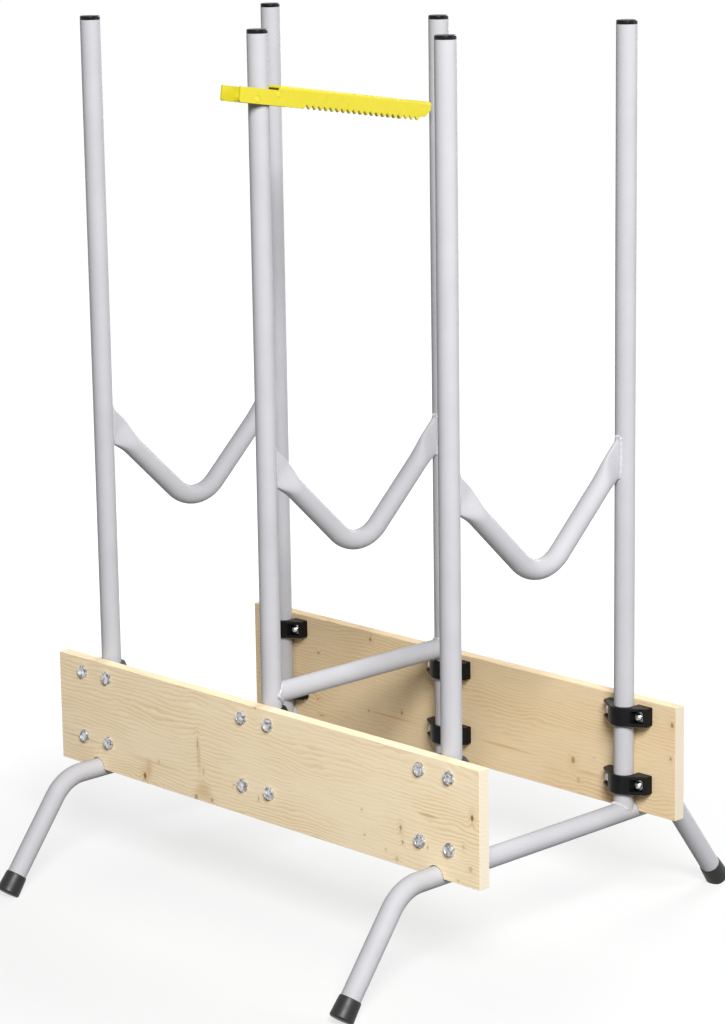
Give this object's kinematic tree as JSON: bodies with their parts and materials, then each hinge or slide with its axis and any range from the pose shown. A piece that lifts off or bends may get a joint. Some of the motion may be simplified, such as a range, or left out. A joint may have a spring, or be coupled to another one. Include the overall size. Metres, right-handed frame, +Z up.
{
  "type": "log saw stand",
  "caption": "Stand that holds a stack of logs for sawing: bent steel tube frames with cradles, clamped between wooden boards, with a toothed hold-down arm that slides on an upright.",
  "frame": {"origin": "on the floor, under the middle of the stand", "axes": "+X along the boards, to the right seen from the front; +Y from the front board to the back board; +Z up"},
  "size_m": [0.757, 0.6904, 1.102],
  "materials": {
    "tube_steel": "satin silver-grey powder coat",
    "wood": "planed, untreated softwood",
    "black_plastic": "moulded, fine satin",
    "foot_rubber": "moulded, matt",
    "zinc_steel": "bright zinc plated",
    "yellow_paint": "satin yellow powder coat",
    "pin_steel": "plain dark steel"
  },
  "bodies": {
    "stand": {"front_board": "wood", "back_board": "wood", "middle_cross_tube": "tube_steel", "leg_tube_left": "tube_steel", "leg_tube_right": "tube_steel", "cradle_left": "tube_steel", "cradle_middle": "tube_steel", "cradle_right": "tube_steel", "upright_front_left": "tube_steel", "upright_front_middle": "tube_steel", "upright_front_right": "tube_steel", "upright_back_left": "tube_steel", "upright_back_middle": "tube_steel", "upright_back_right": "tube_steel", "top_plug_front_left": "black_plastic", "top_plug_front_middle": "black_plastic", "top_plug_front_right": "black_plastic", "top_plug_back_left": "black_plastic", "top_plug_back_middle": "black_plastic", "top_plug_back_right": "black_plastic", "bottom_plug_front_middle": "black_plastic", "bottom_plug_back_middle": "black_plastic", "foot_cap_front_left": "foot_rubber", "foot_cap_front_right": "foot_rubber", "foot_cap_back_left": "foot_rubber", "foot_cap_back_right": "foot_rubber", "clamp_front_left_upper": "black_plastic", "clamp_front_left_lower": "black_plastic", "clamp_front_middle_upper": "black_plastic", "clamp_front_middle_lower": "black_plastic", "clamp_front_right_upper": "black_plastic", "clamp_front_right_lower": "black_plastic", "clamp_back_left_upper": "black_plastic", "clamp_back_left_lower": "black_plastic", "clamp_back_middle_upper": "black_plastic", "clamp_back_middle_lower": "black_plastic", "clamp_back_right_upper": "black_plastic", "clamp_back_right_lower": "black_plastic", "bolts_front_left": "zinc_steel", "bolts_front_middle": "zinc_steel", "bolts_front_right": "zinc_steel", "bolts_back_left": "zinc_steel", "bolts_back_middle": "zinc_steel", "bolts_back_right": "zinc_steel", "nuts_front_left": "zinc_steel", "nuts_front_middle": "zinc_steel", "nuts_front_right": "zinc_steel", "nuts_back_left": "zinc_steel", "nuts_back_middle": "zinc_steel", "nuts_back_right": "zinc_steel"},
    "hold_down_pin": {"hold_down_rear_pin": "pin_steel"},
    "hold_down": {"hold_down_arm": "yellow_paint", "hold_down_front_pin": "pin_steel"}
  },
  "joints": [
    {"name": "hold_down_slide", "type": "slide", "parent": "stand", "child": "hold_down_pin", "axis": [0, 0, 1], "range_m": [-0.33, 0.05]},
    {"name": "hold_down_tilt", "type": "hinge", "parent": "hold_down_pin", "child": "hold_down", "pos_m": [0, -0.1342, 1.021], "axis": [1, 0, 0], "range_deg": [-11.5, 0]}
  ]
}
